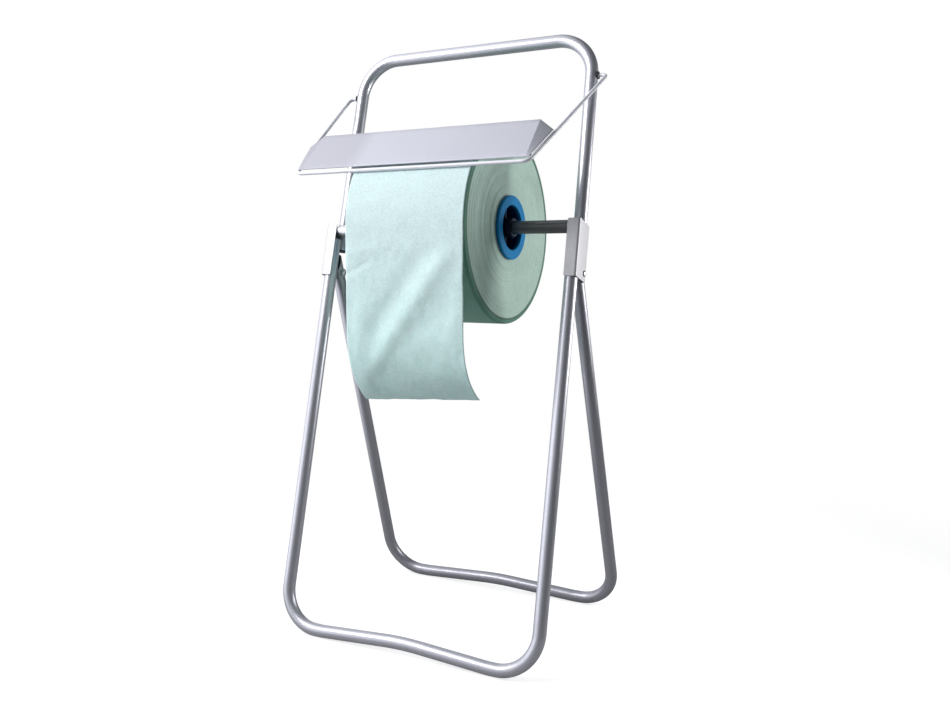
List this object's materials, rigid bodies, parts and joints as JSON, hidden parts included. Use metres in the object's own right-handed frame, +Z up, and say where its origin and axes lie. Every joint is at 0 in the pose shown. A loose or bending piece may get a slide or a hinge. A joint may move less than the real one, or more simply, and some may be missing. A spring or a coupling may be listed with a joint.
{
  "type": "folding floor stand for wiping cloth rolls",
  "caption": "Folding tubular steel floor stand that holds a wide roll of wiping cloth on a lift-out axle, with a swinging wire tear bar and plate.",
  "frame": {"origin": "on the floor under the middle of the stand, at the bottom centre of its bounding box", "axes": "+Z up, -Y towards the user who pulls the cloth, +X to the right seen from the front"},
  "size_m": [0.5252, 0.3902, 1.0455],
  "materials": {
    "silver_paint": "satin silver-grey powder coat with fine metallic flake",
    "bracket_paint": "satin pale grey coat on folded sheet steel",
    "plate_paint": "smooth satin pale lilac-grey coat",
    "bare_steel": "drawn steel tube, lightly polished along its length",
    "zinc": "bright zinc plate",
    "black_plastic": "fine-grained black moulding",
    "blue_plastic": "smooth blue moulding",
    "cardboard": "spirally wound brown board",
    "cloth": "pale mint nonwoven with a soft fibrous surface"
  },
  "bodies": {
    "root": {"front_frame_tube": "silver_paint", "handle_frame_tube": "silver_paint", "bracket_left": "bracket_paint", "bracket_right": "bracket_paint", "pivot_rivet_left": "zinc", "pivot_rivet_right": "zinc", "pivot_washer_left": "zinc", "pivot_washer_right": "zinc", "front_leg_saddle_plug_left": "black_plastic", "front_leg_saddle_plug_right": "black_plastic", "handle_end_plug_left": "black_plastic", "handle_end_plug_right": "black_plastic", "tear_bar_bush_left": "black_plastic", "tear_bar_bush_right": "black_plastic", "loose_cloth": "cloth"},
    "rear_frame": {"rear_frame_tube": "silver_paint", "rear_leg_end_plug_left": "black_plastic", "rear_leg_end_plug_right": "black_plastic"},
    "tear_bar": {"tear_bar_wire": "silver_paint", "tear_plate": "plate_paint"},
    "axle": {"axle_tube": "bare_steel", "axle_end_cap_left": "zinc", "axle_end_cap_right": "zinc"},
    "roll": {"cloth_roll": "cloth", "roll_core": "cardboard", "roll_hub_left": "blue_plastic", "roll_hub_right": "blue_plastic"}
  },
  "joints": [
    {"name": "rear_frame_fold", "type": "hinge", "parent": "root", "child": "rear_frame", "pos_m": [0, -0.01391, 0.63482], "axis": [-1, 0, 0], "range_deg": [0, 30.5]},
    {"name": "tear_bar_swing", "type": "hinge", "parent": "root", "child": "tear_bar", "pos_m": [0, 0.0641, 0.96718], "axis": [-1, 0, 0], "range_deg": [0, 279]},
    {"name": "axle_turn", "type": "hinge", "parent": "root", "child": "axle", "pos_m": [0, -0.01956, 0.71195], "axis": [1, 0, 0], "continuous": true},
    {"name": "roll_turn", "type": "hinge", "parent": "axle", "child": "roll", "pos_m": [0, -0.01956, 0.71195], "axis": [1, 0, 0], "continuous": true}
  ]
}
